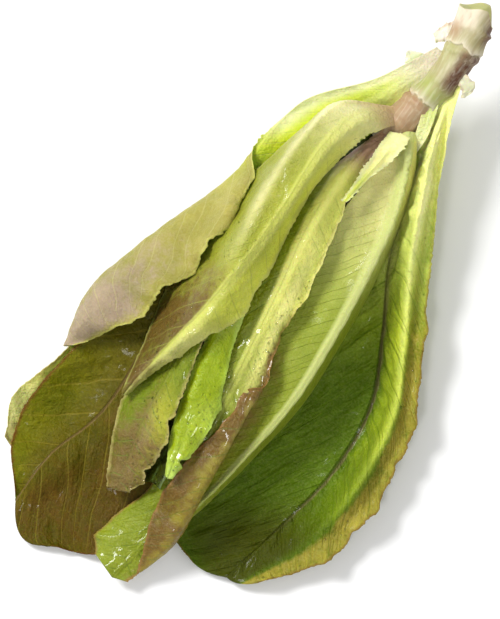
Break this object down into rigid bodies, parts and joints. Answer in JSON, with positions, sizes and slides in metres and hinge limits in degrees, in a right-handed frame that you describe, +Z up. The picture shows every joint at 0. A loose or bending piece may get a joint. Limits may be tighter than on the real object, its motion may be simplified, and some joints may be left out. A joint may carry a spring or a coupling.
{
  "type": "lettuce head",
  "caption": "Long loose head of red-tinged lettuce lying on its side, with waved overlapping leaves, pale ribs, rolled margins and a cut stem.",
  "frame": {"origin": "centre of the bounding box at its lowest plane", "axes": "+Y from the leaf tips to the cut stem, +Z up from the surface it lies on"},
  "size_m": [0.1728, 0.3224, 0.0704],
  "materials": {
    "stem": "smooth moist stalk, cream with pink and purple",
    "pale_leaf": "soft satin leaf",
    "wrap_leaf": "soft satin leaf, sage to pinkish",
    "green_leaf": "moist glossy leaf",
    "olive_leaf": "moist leaf with pale veins",
    "folded_leaf": "satin leaf with a pale rib",
    "center_leaf": "satin leaf, lime to bronze at the margin",
    "bright_leaf": "wet glossy leaf",
    "bronze_leaf": "wet leaf, green to bronze",
    "top_leaf": "satin leaf with a raised pale rib"
  },
  "bodies": {
    "root": {"stem": "stem", "under_leaf": "pale_leaf", "left_tip_leaf": "pale_leaf", "wrap_leaf": "wrap_leaf", "right_leaf": "green_leaf", "dark_leaf": "olive_leaf", "heart_leaf": "pale_leaf", "folded_leaf": "folded_leaf", "center_leaf": "center_leaf", "deep_leaf": "green_leaf", "bright_leaf": "bright_leaf", "bronze_leaf": "bronze_leaf", "top_leaf": "top_leaf"}
  },
  "joints": []
}
